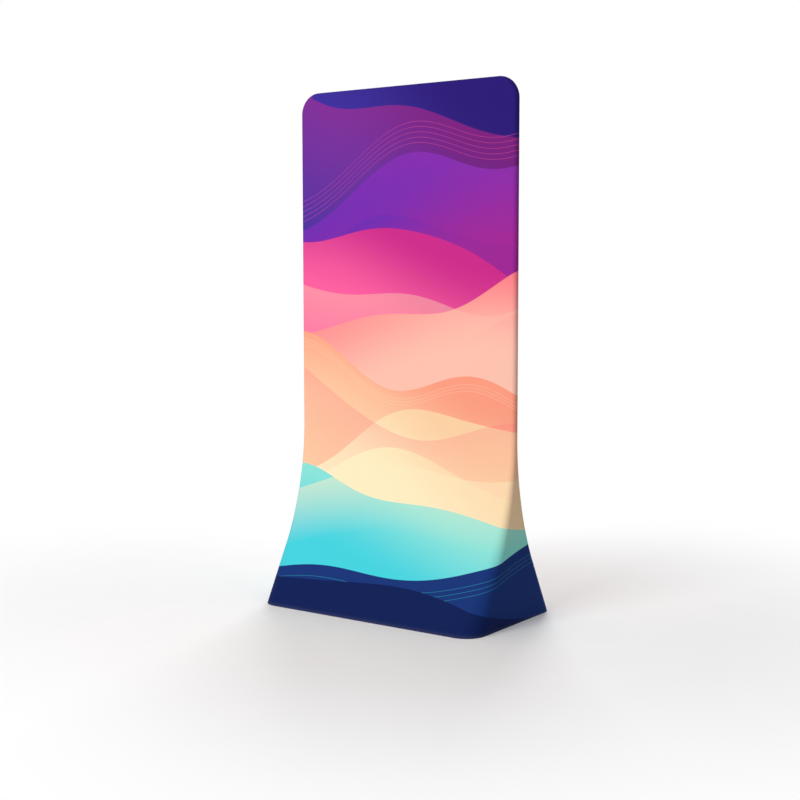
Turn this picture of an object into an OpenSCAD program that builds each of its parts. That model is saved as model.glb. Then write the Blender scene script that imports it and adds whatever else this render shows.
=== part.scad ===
// Free-standing fabric tower: a zipped stretch cover over a tube frame in sections.
// +Z is up, the front print faces -Y, and the origin is the middle of the base at the floor.

/* [Tower] */
// Width across the cover
tower_w = 1212; // [900:2:1500]
// Height above the floor
tower_h = 2438; // [1800:2:2700]
// Depth of the base at the floor
base_d = 720; // [560:2:860]
// Plan radius of the base corners
base_corner_r = 98; // [80:1:120]
// Outer radius of the two top corners
top_corner_r = 100; // [80:1:160]

/* [Legs] */
// Lean of the straight part of a leg from upright
leg_lean = 31; // [28:0.5:34]
// Centreline radius of a leg's bend
leg_bend_r = 1180; // [1000:10:1300]
// Lean of the fork's two limbs from upright
fork_lean = 12; // [11.5:0.5:14]
// Height of the joint between fork and upright
stem_top = 1480; // [1350:10:1600]
// Height of the cross bar
bar_height = 1220; // [1050:10:1300]

/* [Tubes] */
// Outer diameter of the frame tube
tube_d = 38; // [34:1:40]
// Wall of the frame tube
tube_wall = 1.5; // [1.2:0.1:2]
// Outer diameter of the cross bar
bar_d = 32; // [28:1:32]
// Length of a swaged end
swage_len = 60; // [50:1:80]
// Radial clearance of a swaged end in the next tube
swage_gap = 0.1; // [0.05:0.01:0.15]
// Straight arm on each side of a top corner
corner_arm = 60; // [55:1:120]
// Length of the socket that holds the cross bar
socket_len = 52; // [48:1:70]

/* [Base ring] */
// Width of the flat bar
ring_w = 40; // [38:1:60]
// Thickness of the flat bar
ring_t = 6; // [5:0.5:10]
// Distance of the lap joints from the middle
lap_x = 250; // [180:5:300]
// Length of a lap joint
lap_len = 60; // [50:1:90]
// Thread diameter of the lap screws
screw_d = 6; // [5:0.5:8]

/* [Snap buttons] */
// Diameter of a button
button_d = 7; // [6:0.5:8]
// Height of a button above the tube
button_proud = 1.6; // [1:0.1:2.5]
// Radial clearance of a button in its holes
button_gap = 0.1; // [0.05:0.01:0.3]
// Width of the spring strip
strip_w = 8; // [7:0.5:9]
// Thickness of the spring strip
strip_t = 0.8; // [0.5:0.1:1]

/* [Cover] */
// Thickness of the stretch fabric
cover_t = 0.8; // [0.5:0.1:1.2]
// Clearance between the fabric and the frame
cover_gap = 0.4; // [0.3:0.05:0.6]

/* [Zip] */
// Distance of the zip's two ends from the side seams at the floor
zip_inset = 8; // [6:1:200]
// Distance of the zip's middle up the back from the floor
zip_up = 28; // [24:1:40]
// Width of the chain
chain_w = 6.6; // [6:0.1:8]
// Height of the chain above its tape
chain_h = 2.2; // [1.8:0.1:3]
// Length of the slider
slider_len = 13; // [11:0.5:18]
// Length of the pull tab
pull_len = 28; // [20:1:40]

/* [Hidden] */

// Facets: round sections, plan corners, long bends, and the segments of the cover
round_fn = 48;
plan_fn = 96;
bend_fn = 240;
corner_steps = 6;
flare_steps = 7;
top_steps = 12;

// Tube radii
tube_r = tube_d / 2;
bore_r = tube_r - tube_wall;
spigot_r = bore_r - swage_gap;
spigot_bore = spigot_r - tube_wall;
swage_step = 3;
bar_r = bar_d / 2;
bar_bore = bar_r - tube_wall;
bar_spigot_r = bar_bore - swage_gap;
bar_spigot_bore = bar_spigot_r - tube_wall;

// The fabric lies round the tube at wrap_r; edge_flat keeps its two rounds apart
wrap_r = tube_r + cover_gap + cover_t;
edge_flat = 0.5;
edge_r = wrap_r - edge_flat;
half_w = tower_w / 2;
half_d = base_d / 2;
upright_x = half_w - wrap_r;
top_z = tower_h - wrap_r;

// A leg's foot sits in the round corner of the base, so the leg toes in from the upright
corner_share = 1 - sqrt(0.5);
toe_in = corner_share * (base_corner_r - edge_r);
foot_y = half_d - wrap_r / cos(leg_lean) - toe_in;
toe = atan(toe_in / foot_y);
foot_reach = norm([foot_y, toe_in]);
bend_reach = leg_bend_r * (1 - cos(leg_lean));
bend_drop = leg_bend_r * sin(leg_lean);
flare_top = bend_drop + (foot_reach - bend_reach) / tan(leg_lean);
swage_angle = swage_len / leg_bend_r * 180 / PI;
step_angle = swage_step / leg_bend_r * 180 / PI;
butt_gap = 0.2;
leg_bend = leg_lean - fork_lean - butt_gap / leg_bend_r * 180 / PI;
shank_len = (flare_top - bend_drop) / cos(leg_lean);

// The fork's straight limbs leave the stem where the bend's tangent at fork_lean meets its axis
limb_len = leg_bend_r * tan(fork_lean / 2);
fork_z = flare_top - limb_len;
limb_step = 0.5;
limb_r = tube_r - limb_step;
limb_bore = limb_r - tube_wall;
stem_overlap = 32;

// Top bend, and where the straight tubes and the cross bar's sockets end
top_bend_r = top_corner_r - wrap_r;
top_tube_half = upright_x - top_bend_r - corner_arm;
upright_top = top_z - top_bend_r - corner_arm;
socket_x = upright_x - tube_r - socket_len;

// How far a leg's centreline stands out from the upright at height z, and how it leans there
function leg_drop(z) = max(0, flare_top - z);
function leg_reach(z) = leg_drop(z) < bend_drop
    ? leg_bend_r - sqrt(pow(leg_bend_r, 2) - pow(leg_drop(z), 2))
    : bend_reach + (leg_drop(z) - bend_drop) * tan(leg_lean);
function leg_tilt(z) = asin(min(leg_drop(z), bend_drop) / leg_bend_r);

// Half depth and corner radius of the cover at height z: the fabric rests on the four legs
face_share = cos(toe) + sin(toe);
function cover_half(z) = leg_reach(z) * face_share + wrap_r / cos(leg_tilt(z));
function cover_corner(z) = edge_r + leg_reach(z) * sin(toe) / corner_share;

// Lean of the flat lower back, and the fabric's thickness square to it
face_lean = atan(tan(leg_lean) * face_share);
face_t = cover_t * cos(face_lean);

// Base ring, just inside the cover at the ring's top; ring_gap also clears the cover's facets
ring_z = cover_t + cover_gap;
ring_top = ring_z + ring_t;
lap_z = ring_z + ring_t / 2;
ring_gap = 1;
ring_inset = cover_t + ring_gap;
ring_half_w = half_w - ring_inset;
ring_half_d = cover_half(ring_top) - ring_inset;
ring_corner = cover_corner(ring_top) - ring_inset;
lap_gap = 0.2;
screw_gap = 0.1;

// Button head screws: the head and its hexagon socket follow the thread
head_r = screw_d * 0.9;
head_h = screw_d * 0.5;
hex_r = screw_d * 0.38;
hex_depth = head_h * 0.6;

// Spigots welded to the ring for the legs, and the place of their snap buttons along the legs
base_spigot = 80;
base_snap_up = 58;

// Snap buttons: the strip lies across the spigot's bore, its edges strip_seat short of the wall
button_r = button_d / 2;
strip_len = 26;
strip_tail = 6;
strip_seat = 0.3;
function strip_x(bore) = sqrt(pow(bore, 2) - pow(strip_w / 2, 2)) - strip_seat;

// Zip, in the plane of the lower back: x along it, y outwards, z up the slope
zip_half = half_w - base_corner_r - zip_inset;
zip_len = 2 * zip_half;
tape_t = 0.6;
tape_w = 14;
tape_gap = 0.05;
tape_show = 2.2;
tape_end_gap = 1;
tape_y = -face_t - tape_gap - tape_t;
chain_split = 1.5;
chain_y = tape_y + tape_t;
fabric_edge = chain_w / 2 + tape_show;
tape_reach = half_w - base_corner_r - tape_end_gap;
tab_lap = 5.5;
tab_side_lap = 3;
tab_seam_gap = 0.2;
tab_in = max(zip_half + tape_end_gap, tape_reach - tab_lap);
tab_out = half_w - cover_corner((zip_up - fabric_edge) * cos(face_lean)) - tab_seam_gap;
stop_len = 3;
slider_gap = 0.3;
slider_wall = 1;
slider_w = chain_w + 2 * (slider_gap + slider_wall);
slider_top = chain_y + chain_h + slider_gap;
slider_low = tape_y - slider_gap;
slider_x = zip_half - stop_len - slider_gap - slider_len / 2;
pin_r = 0.8;
pin_gap = 0.05;
pull_t = 1.4;
pull_w = 4;
lug_w = 1;
lug_gap = 0.15;
eye_r = 1.7;
eye_gap = 0.25;
pin_y = slider_top + slider_wall + eye_r + eye_gap;
pin_x = slider_len * 0.15;
post_x = slider_len * 0.25;
post_len = slider_len * 0.2;
pull_hole_r = pull_w * 0.28;
pull_hole_x = pull_len - pull_w;

// Shared shapes

// A straight tube up from the origin, its top end swaged where spigot is above zero
module tube(len, r, bore, spigot = 0) {
    inner = spigot - tube_wall;
    profile = spigot > 0
        ? [[bore, 0], [r, 0], [r, len], [spigot, len], [spigot, len + swage_len],
           [inner, len + swage_len], [inner, len - swage_step], [bore, len - swage_step]]
        : [[bore, 0], [r, 0], [r, len], [bore, len]];
    rotate_extrude($fn = round_fn) polygon(profile);
}

// A bent bar or tube, from angle zero of a bend of radius r_bend
module bent(r_bend, angle, r, bore = 0) {
    rotate_extrude(angle = angle, $fn = bend_fn)
        translate([r_bend, 0])
            difference() {
                circle(r, $fn = round_fn);
                if (bore > 0) circle(bore, $fn = round_fn);
            }
}

// Stands a bend in the plane of a leg, starting on the upright at the top of the flare
module in_leg_plane() {
    translate([leg_bend_r, 0, flare_top]) rotate([0, 180, 0]) rotate([90, 0, 0]) children();
}

// The knee's frame: the straight shank runs down along -z, and the bend starts upwards
module on_knee() {
    translate([bend_reach, 0, flare_top - bend_drop]) rotate([0, -leg_lean, 0]) children();
}

// Turns the leg plane to one of the four legs: side is -1 left or 1 right, face -1 front or 1 back
module at_leg(side, face) {
    translate([side * upright_x, 0, 0]) rotate([0, 0, 90 * face + side * face * toe]) children();
}

// Frames of the snap buttons: z runs along the tube that carries one, x the way it points
module at_top_snap(side) {
    translate([side * (top_tube_half - swage_len / 2), 0, top_z])
        rotate([0, 90 * side, 0]) mirror([side > 0 ? 0 : 1, 0, 0]) children();
}

module at_corner_snap(side) {
    translate([side * upright_x, 0, upright_top - swage_len / 2])
        rotate([0, 0, side > 0 ? 180 : 0]) children();
}

module at_upright_snap(side) {
    translate([side * upright_x, 0, stem_top - swage_len / 2])
        rotate([0, 0, side > 0 ? 180 : 0]) children();
}

module at_bar_snap(side) {
    translate([side * (socket_x + (socket_len - swage_step) / 2), 0, bar_height])
        rotate([0, -90 * side, 0]) mirror([side > 0 ? 1 : 0, 0, 0]) children();
}

module at_fork_snap(side, face) {
    angle = fork_lean + swage_angle / 2;
    at_leg(side, face)
        translate([leg_bend_r * (1 - cos(angle)), 0, flare_top - leg_bend_r * sin(angle)])
            rotate([0, -angle, 0]) mirror([1, 0, 0]) children();
}

module at_base_snap(side, face) {
    at_leg(side, face)
        on_knee()
            translate([0, 0, base_snap_up - shank_len])
                mirror([1, 0, 0]) mirror([0, 0, 1]) children();
}

// The hole that a button stands through, on one side of its tube
module button_hole() {
    rotate([0, 90, 0]) cylinder(h = tube_d, r = button_r + button_gap, $fn = round_fn);
}

// A rounded rectangle in plan, from squares and circles
module plan(hw, hd, r) {
    square([2 * hw - 2 * r, 2 * hd], center = true);
    square([2 * hw, 2 * hd - 2 * r], center = true);
    for (x = [-1, 1], y = [-1, 1])
        translate([x * (hw - r), y * (hd - r)]) circle(r, $fn = plan_fn);
}

// The lower back's own frame
module on_back() {
    translate([0, half_d, 0]) rotate([face_lean, 0, 0]) children();
}

// Cover

// Heights of the cover's rings on the upright part of its edge, from z_low to the top corner
function cover_levels(z_low) = concat(
    [z_low],
    [for (i = [flare_steps:-1:0]) flare_top - leg_bend_r * sin(leg_lean * i / flare_steps)],
    [tower_h - top_corner_r]
);

// One ring of points from the front tangent round the edge to the back tangent, inset by the fabric
function edge_ring(z, inset) =
    let (r = cover_corner(z) - inset, cx = half_w - inset - r, cy = cover_half(z) - inset - r)
    [for (face = [-1, 1], i = [0:corner_steps])
        let (a = 90 * i / corner_steps + (face < 0 ? 0 : 90))
        [cx + r * sin(a), face * cy - r * cos(a), z]];

// The same ring turned round the top corner by turn degrees
function top_ring(turn, inset) =
    let (r = edge_r - inset, cy = wrap_r - inset - r, bend = top_corner_r - inset - r)
    [for (face = [-1, 1], i = [0:corner_steps])
        let (a = 90 * i / corner_steps + (face < 0 ? 0 : 90), out = bend + r * sin(a))
        [half_w - top_corner_r + out * cos(turn), face * cy - r * cos(a),
         tower_h - top_corner_r + out * sin(turn)]];

function right_rings(z_low, inset) = concat(
    [for (z = cover_levels(z_low)) edge_ring(z, inset)],
    [for (i = [1:top_steps]) top_ring(90 * i / top_steps, inset)]
);

function mirrored(ring) = [for (p = ring) [-p[0], p[1], p[2]]];
function reversed(list) = [for (i = [len(list) - 1:-1:0]) list[i]];
function flat(list) = [for (row = list) for (item = row) item];
function quad(a, b, c, d) = [[a, b, c], [a, c, d]];

// The fabric round the front and both sides and over the top, as one closed skin
module cover_front_wrap() {
    right_out = right_rings(cover_t, 0);
    right_in = right_rings(cover_t, cover_t);
    outer = concat(right_out, reversed([for (r = right_out) mirrored(r)]));
    inner = concat(right_in, reversed([for (r = right_in) mirrored(r)]));
    rings = len(outer);
    across = len(outer[0]);
    half = rings / 2;
    in0 = rings * across;
    function at(k, j) = k * across + j;
    skins = flat([for (k = [0:rings - 2], j = [0:across - 2]) concat(
        quad(at(k, j), at(k + 1, j), at(k + 1, j + 1), at(k, j + 1)),
        quad(in0 + at(k, j), in0 + at(k, j + 1), in0 + at(k + 1, j + 1), in0 + at(k + 1, j)))]);
    front = flat([for (k = [0:half - 2])
        let (a = at(k, 0), b = at(k + 1, 0), c = at(rings - 2 - k, 0), d = at(rings - 1 - k, 0))
        concat(quad(a, d, c, b), quad(in0 + a, in0 + b, in0 + c, in0 + d))]);
    back_edge = flat([for (k = [0:rings - 2])
        let (a = at(k, across - 1), b = at(k + 1, across - 1))
        quad(a, b, in0 + b, in0 + a)]);
    foot_edges = flat([for (j = [0:across - 2])
        let (a = at(0, j), b = at(0, j + 1), c = at(rings - 1, j), d = at(rings - 1, j + 1))
        concat(quad(a, b, in0 + b, in0 + a), quad(c, in0 + c, in0 + d, d))]);
    foot_front = let (a = at(0, 0), b = at(rings - 1, 0)) quad(a, in0 + a, in0 + b, b);
    color("mediumorchid")
        polyhedron(
            points = flat(concat(outer, inner)),
            faces = concat(skins, front, back_edge, foot_edges, foot_front));
}

// The back of the cover between its two edge seams, down to the zip
module cover_back_panel() {
    z_low = (zip_up + fabric_edge) * cos(face_lean);
    function row(ring) = ring[len(ring) - 1];
    out = [for (r = right_rings(z_low, 0)) row(r)];
    inn = [for (r = right_rings(z_low, cover_t)) row(r)];
    n = len(out);
    color("mediumorchid")
        polyhedron(
            points = concat(out, mirrored(out), inn, mirrored(inn)),
            faces = flat(concat(
                [for (k = [0:n - 2]) concat(
                    quad(k, n + k, n + k + 1, k + 1),
                    quad(2 * n + k, 2 * n + k + 1, 3 * n + k + 1, 3 * n + k),
                    quad(k, k + 1, 2 * n + k + 1, 2 * n + k),
                    quad(n + k, 3 * n + k, 3 * n + k + 1, n + k + 1))],
                [quad(0, 2 * n, 3 * n, n)],
                [quad(n - 1, 2 * n - 1, 4 * n - 1, 3 * n - 1)])));
}

// The narrow strip between the zip and the base panel
module cover_hem_strip() {
    z_top = (zip_up - fabric_edge) * cos(face_lean);
    function pair(z) = let (x = half_w - cover_corner(z), y = cover_half(z))
        [[x, y, z], [-x, y, z], [-x, y - cover_t, z], [x, y - cover_t, z]];
    color("mediumorchid")
        polyhedron(
            points = concat(pair(cover_t), pair(z_top)),
            faces = concat(
                quad(0, 1, 2, 3), quad(4, 7, 6, 5), quad(0, 4, 5, 1),
                quad(1, 5, 6, 2), quad(2, 6, 7, 3), quad(3, 7, 4, 0)));
}

module cover_base_panel() {
    color("indigo") linear_extrude(cover_t) plan(half_w, half_d, base_corner_r);
}

// Zip

// One half's tape, dir 1 above the chain's middle and -1 below it
module zip_tape(dir) {
    color("indigo")
        on_back()
            translate([-tape_reach, tape_y, zip_up + (dir > 0 ? chain_split / 2 : -tape_w)])
                cube([2 * tape_reach, tape_t, tape_w - chain_split / 2]);
}

// Tabs sewn over the ends of the tapes, which close the cover up to its side seams
module zip_end_tabs() {
    tab_h = 2 * (fabric_edge + tab_side_lap);
    color("indigo")
        on_back()
            for (end = [-1, 1])
                translate([end > 0 ? tab_in : -tab_out, tape_gap, zip_up - tab_h / 2])
                    cube([tab_out - tab_in, tape_t, tab_h]);
}

module zip_chain() {
    half = chain_w / 2;
    run = zip_len - 2 * stop_len;
    color("dimgray")
        on_back()
            for (dir = [-1, 1])
                translate([-run / 2, chain_y, zip_up])
                    rotate([90, 0, 90])
                        linear_extrude(run)
                            intersection() {
                                translate([0, dir > 0 ? chain_split / 2 : -half])
                                    square([chain_h, half - chain_split / 2]);
                                union() {
                                    translate([0, -half + chain_h / 2])
                                        square([chain_h, chain_w - chain_h]);
                                    for (end = [-1, 1])
                                        translate([chain_h / 2, end * (half - chain_h / 2)])
                                            circle(chain_h / 2, $fn = round_fn);
                                }
                            }
}

module zip_stops() {
    color("dimgray")
        on_back()
            for (end = [-1, 1])
                translate([end * (zip_half - stop_len / 2), chain_y + chain_h / 2, zip_up])
                    cube([stop_len, chain_h, chain_w], center = true);
}

module zip_slider() {
    color("silver")
        on_back()
            translate([slider_x, 0, zip_up]) {
                difference() {
                    translate([-slider_len / 2, chain_y + slider_gap, -slider_w / 2])
                        cube([slider_len, slider_top + slider_wall - chain_y - slider_gap, slider_w]);
                    translate([-slider_len, slider_low, -chain_w / 2 - slider_gap])
                        cube([2 * slider_len, slider_top - slider_low, chain_w + 2 * slider_gap]);
                }
                translate([-slider_len / 2, slider_low - slider_wall, -slider_w / 2])
                    cube([slider_len, slider_wall, slider_w]);
                translate([post_x, slider_low - slider_wall / 2, -chain_split / 2 + slider_gap])
                    cube([post_len, slider_top - slider_low + slider_wall,
                          chain_split - 2 * slider_gap]);
                for (dir = [-1, 1])
                    translate([pin_x, 0, dir * (pull_w / 2 + lug_gap + lug_w / 2)]) {
                        translate([0, pin_y, 0])
                            cylinder(h = lug_w, r = eye_r, center = true, $fn = round_fn);
                        translate([-eye_r, slider_top + slider_wall / 2, -lug_w / 2])
                            cube([2 * eye_r, pin_y - slider_top - slider_wall / 2, lug_w]);
                    }
                translate([pin_x, pin_y, 0])
                    cylinder(h = pull_w + 2 * lug_gap + lug_w, r = pin_r, center = true, $fn = round_fn);
            }
}

module zip_pull() {
    color("silver")
        on_back()
            translate([slider_x + pin_x, pin_y, zip_up])
                difference() {
                    union() {
                        cylinder(h = pull_w, r = eye_r, center = true, $fn = round_fn);
                        translate([-pull_len, -pull_t / 2, -pull_w / 2])
                            cube([pull_len, pull_t, pull_w]);
                    }
                    cylinder(h = 2 * pull_w, r = pin_r + pin_gap, center = true, $fn = round_fn);
                    translate([-pull_hole_x, 0, 0])
                        rotate([90, 0, 0])
                            cylinder(h = 2 * pull_t, r = pull_hole_r, center = true, $fn = round_fn);
                }
}

// Upper frame

module top_tube() {
    color("silver")
        difference() {
            translate([-top_tube_half, 0, top_z])
                rotate([0, 90, 0]) tube(2 * top_tube_half, tube_r, bore_r);
            for (side = [-1, 1]) at_top_snap(side) button_hole();
        }
}

module top_corner(side) {
    color("silver")
        difference() {
            translate([side * upright_x, 0, top_z])
                mirror([side > 0 ? 0 : 1, 0, 0]) {
                    translate([-top_bend_r, 0, -top_bend_r])
                        rotate([90, 0, 0]) bent(top_bend_r, 90, tube_r, bore_r);
                    translate([-top_bend_r, 0, 0])
                        rotate([0, -90, 0]) tube(corner_arm, tube_r, bore_r, spigot_r);
                    translate([0, 0, -top_bend_r])
                        rotate([180, 0, 0]) tube(corner_arm, tube_r, bore_r, spigot_r);
                }
            at_top_snap(side) button_hole();
            at_corner_snap(side) button_hole();
        }
}

module upright(side) {
    color("silver")
        difference() {
            translate([side * upright_x, 0, upright_top])
                rotate([180, 0, 0]) tube(upright_top - stem_top, tube_r, bore_r, spigot_r);
            at_corner_snap(side) button_hole();
            at_upright_snap(side) button_hole();
        }
}

// Lower frame

// A length of the stem from an overlap below the fork's point
module stem(side, r, overlap, top) {
    translate([side * upright_x, 0, fork_z - overlap])
        cylinder(h = top - fork_z + overlap, r = r, $fn = round_fn);
}

// The socket for the cross bar, from a distance off the stem's axis
module bar_socket(side, r, from, to) {
    translate([side * (upright_x - from), 0, bar_height])
        rotate([0, -90 * side, 0]) cylinder(h = to - from, r = r, $fn = round_fn);
}

// A straight limb of the fork down to its leg
module limb(side, face, r, len) {
    at_leg(side, face)
        translate([0, 0, fork_z])
            rotate([0, 180 - fork_lean, 0]) cylinder(h = len, r = r, $fn = round_fn);
}

// The limb's swaged end, which follows the leg's bend; lead is how far it starts up in the limb
module limb_spigot(side, face, r, lead, extra) {
    at_leg(side, face)
        in_leg_plane()
            rotate([0, 0, fork_lean - lead]) bent(leg_bend_r, lead + swage_angle + extra, r);
}

module fork(side) {
    color("silver")
        difference() {
            union() {
                stem(side, tube_r, stem_overlap, stem_top);
                bar_socket(side, bar_r, 0, tube_r + socket_len);
                for (face = [-1, 1]) {
                    limb(side, face, limb_r, limb_len);
                    limb_spigot(side, face, spigot_r, step_angle, 0);
                }
            }
            stem(side, bore_r, stem_overlap / 2, stem_top + swage_step);
            bar_socket(side, bar_bore, tube_r, tube_r + socket_len + swage_step);
            for (face = [-1, 1]) {
                limb(side, face, limb_bore, limb_len - swage_step);
                limb_spigot(side, face, spigot_bore, 2 * step_angle, step_angle);
            }
            at_upright_snap(side) button_hole();
            at_bar_snap(side) button_hole();
            for (face = [-1, 1]) at_fork_snap(side, face) button_hole();
        }
}

module cross_bar() {
    spigot = socket_len - swage_step;
    color("silver")
        difference() {
            for (side = [-1, 1])
                mirror([side > 0 ? 0 : 1, 0, 0])
                    translate([0, 0, bar_height])
                        rotate([0, 90, 0])
                            rotate_extrude($fn = round_fn)
                                polygon([
                                    [bar_bore, 0], [bar_r, 0], [bar_r, socket_x],
                                    [bar_spigot_r, socket_x], [bar_spigot_r, socket_x + spigot],
                                    [bar_spigot_bore, socket_x + spigot],
                                    [bar_spigot_bore, socket_x - swage_step],
                                    [bar_bore, socket_x - swage_step]
                                ]);
            for (side = [-1, 1]) at_bar_snap(side) button_hole();
        }
}

module leg(side, face) {
    color("silver")
        difference() {
            at_leg(side, face)
                difference() {
                    on_knee() {
                        translate([leg_bend_r, 0, 0])
                            rotate([90, 0, 0])
                                mirror([1, 0, 0]) bent(leg_bend_r, leg_bend, tube_r, bore_r);
                        rotate([180, 0, 0]) tube(shank_len + tube_d, tube_r, bore_r);
                    }
                    translate([0, -tube_d, ring_top - 2 * tube_d])
                        cube([base_d, 2 * tube_d, 2 * tube_d]);
                }
            at_fork_snap(side, face) button_hole();
            at_base_snap(side, face) button_hole();
        }
}

// Base ring

module ring_blank(z, h) {
    translate([0, 0, z])
        linear_extrude(h)
            difference() {
                plan(ring_half_w, ring_half_d, ring_corner);
                plan(ring_half_w - ring_w, ring_half_d - ring_w, ring_corner - ring_w);
            }
}

module lap_holes(r) {
    for (x = [-1, 1], y = [-1, 1], i = [-1, 1])
        translate([x * lap_x + i * lap_len / 4, y * (ring_half_d - ring_w / 2), 0])
            cylinder(h = 2 * ring_top, r = r, $fn = round_fn);
}

module base_end(side) {
    color("gray")
        difference() {
            union() {
                intersection() {
                    union() {
                        ring_blank(ring_z, ring_t / 2);
                        intersection() {
                            ring_blank(lap_z, ring_t / 2);
                            translate([side > 0 ? lap_x + (lap_len + lap_gap) / 2 : -tower_w, -base_d, 0])
                                cube([tower_w - lap_x - (lap_len + lap_gap) / 2, 2 * base_d, tower_h]);
                        }
                    }
                    translate([side > 0 ? lap_x - (lap_len - lap_gap) / 2 : -tower_w, -base_d, 0])
                        cube([tower_w - lap_x + (lap_len - lap_gap) / 2, 2 * base_d, tower_h]);
                }
                for (face = [-1, 1])
                    at_leg(side, face)
                        difference() {
                            on_knee()
                                translate([0, 0, -shank_len - tube_d])
                                    tube(base_spigot + tube_d, spigot_r, spigot_bore);
                            translate([0, -tube_d, lap_z - 2 * tube_d])
                                cube([base_d, 2 * tube_d, 2 * tube_d]);
                        }
            }
            for (face = [-1, 1]) at_base_snap(side, face) button_hole();
            lap_holes(screw_d / 2 + screw_gap);
        }
}

module base_bar(face) {
    color("gray")
        difference() {
            intersection() {
                union() {
                    ring_blank(lap_z, ring_t / 2);
                    intersection() {
                        ring_blank(ring_z, ring_t / 2);
                        translate([-lap_x + (lap_len + lap_gap) / 2, -base_d, 0])
                            cube([2 * lap_x - lap_len - lap_gap, 2 * base_d, tower_h]);
                    }
                }
                translate([-lap_x - (lap_len - lap_gap) / 2, face > 0 ? 0 : -base_d, 0])
                    cube([2 * lap_x + lap_len - lap_gap, base_d, tower_h]);
            }
            lap_holes(screw_d / 2 + screw_gap);
        }
}

module lap_screws() {
    color("dimgray")
        for (x = [-1, 1], y = [-1, 1], i = [-1, 1])
            translate([x * lap_x + i * lap_len / 4, y * (ring_half_d - ring_w / 2), 0])
                difference() {
                    union() {
                        translate([0, 0, ring_z])
                            cylinder(h = ring_t + head_h / 2, r = screw_d / 2, $fn = round_fn);
                        translate([0, 0, ring_top]) cylinder(h = head_h, r = head_r, $fn = round_fn);
                    }
                    translate([0, 0, ring_top + head_h - hex_depth])
                        cylinder(h = head_h, r = hex_r, $fn = 6);
                }
}

// Snap buttons

// A button with the strip that carries it, pointing to +x, in a tube of radius r along z
module snap_button(r, bore) {
    seat = strip_x(bore);
    tip = r + button_proud;
    dome = 2 * button_r;
    color("gainsboro") {
        rotate([0, 90, 0])
            translate([0, 0, seat - strip_t])
                rotate_extrude($fn = round_fn)
                    intersection() {
                        square([button_r, tip - seat + strip_t]);
                        translate([0, tip - seat + strip_t - dome]) circle(dome, $fn = 2 * round_fn);
                    }
        translate([seat - strip_t, -strip_w / 2, -strip_tail])
            cube([strip_t, strip_w, strip_len - strip_seat]);
    }
}

// The bend and the back of the strip, which stay against the far side of the tube
module spring_back(bore) {
    seat = strip_x(bore);
    top = strip_len - strip_tail;
    translate([0, 0, top])
        rotate([90, 0, 0])
            rotate_extrude(angle = 180, $fn = 2 * round_fn)
                translate([seat - strip_t, -strip_w / 2]) square([strip_t, strip_w]);
    translate([-seat, -strip_w / 2, -strip_tail]) cube([strip_t, strip_w, strip_len]);
}

module snap_spring_backs() {
    color("gainsboro")
        for (side = [-1, 1]) {
            at_top_snap(side) spring_back(spigot_bore);
            at_corner_snap(side) spring_back(spigot_bore);
            at_upright_snap(side) spring_back(spigot_bore);
            at_bar_snap(side) spring_back(bar_spigot_bore);
            for (face = [-1, 1]) {
                at_fork_snap(side, face) spring_back(spigot_bore);
                at_base_snap(side, face) spring_back(spigot_bore);
            }
        }
}

cover_front_wrap();
cover_back_panel();
cover_hem_strip();
cover_base_panel();
zip_tape(1);  // zip_tape_upper
zip_tape(-1);  // zip_tape_lower
zip_chain();
zip_stops();
zip_end_tabs();
zip_slider();
zip_pull();
top_tube();
top_corner(-1);  // top_corner_left
top_corner(1);  // top_corner_right
upright(-1);  // upright_left
upright(1);  // upright_right
fork(-1);  // fork_left
fork(1);  // fork_right
cross_bar();
leg(-1, -1);  // leg_front_left
leg(1, -1);  // leg_front_right
leg(-1, 1);  // leg_back_left
leg(1, 1);  // leg_back_right
base_end(-1);  // base_end_left
base_end(1);  // base_end_right
base_bar(-1);  // base_bar_front
base_bar(1);  // base_bar_back
lap_screws();
at_top_snap(-1) snap_button(tube_r, spigot_bore);  // snap_top_left
at_top_snap(1) snap_button(tube_r, spigot_bore);  // snap_top_right
at_corner_snap(-1) snap_button(tube_r, spigot_bore);  // snap_corner_left
at_corner_snap(1) snap_button(tube_r, spigot_bore);  // snap_corner_right
at_upright_snap(-1) snap_button(tube_r, spigot_bore);  // snap_upright_left
at_upright_snap(1) snap_button(tube_r, spigot_bore);  // snap_upright_right
at_bar_snap(-1) snap_button(bar_r, bar_spigot_bore);  // snap_bar_left
at_bar_snap(1) snap_button(bar_r, bar_spigot_bore);  // snap_bar_right
at_fork_snap(-1, -1) snap_button(tube_r, spigot_bore);  // snap_fork_front_left
at_fork_snap(1, -1) snap_button(tube_r, spigot_bore);  // snap_fork_front_right
at_fork_snap(-1, 1) snap_button(tube_r, spigot_bore);  // snap_fork_back_left
at_fork_snap(1, 1) snap_button(tube_r, spigot_bore);  // snap_fork_back_right
at_base_snap(-1, -1) snap_button(tube_r, spigot_bore);  // snap_base_front_left
at_base_snap(1, -1) snap_button(tube_r, spigot_bore);  // snap_base_front_right
at_base_snap(-1, 1) snap_button(tube_r, spigot_bore);  // snap_base_back_left
at_base_snap(1, 1) snap_button(tube_r, spigot_bore);  // snap_base_back_right
snap_spring_backs();
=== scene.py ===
"""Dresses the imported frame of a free-standing fabric tower: cover, zip, tubes and stage.

Every piece is in metres in the frame's own axes: +Z up, the front print faces -Y.
"""

from math import asin, atan, copysign, cos, degrees, hypot, pi, radians, sin, sqrt, tan

import bpy
from bpy.props import FloatProperty, FloatVectorProperty, IntProperty, PointerProperty
from mathutils import Matrix, Vector


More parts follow.
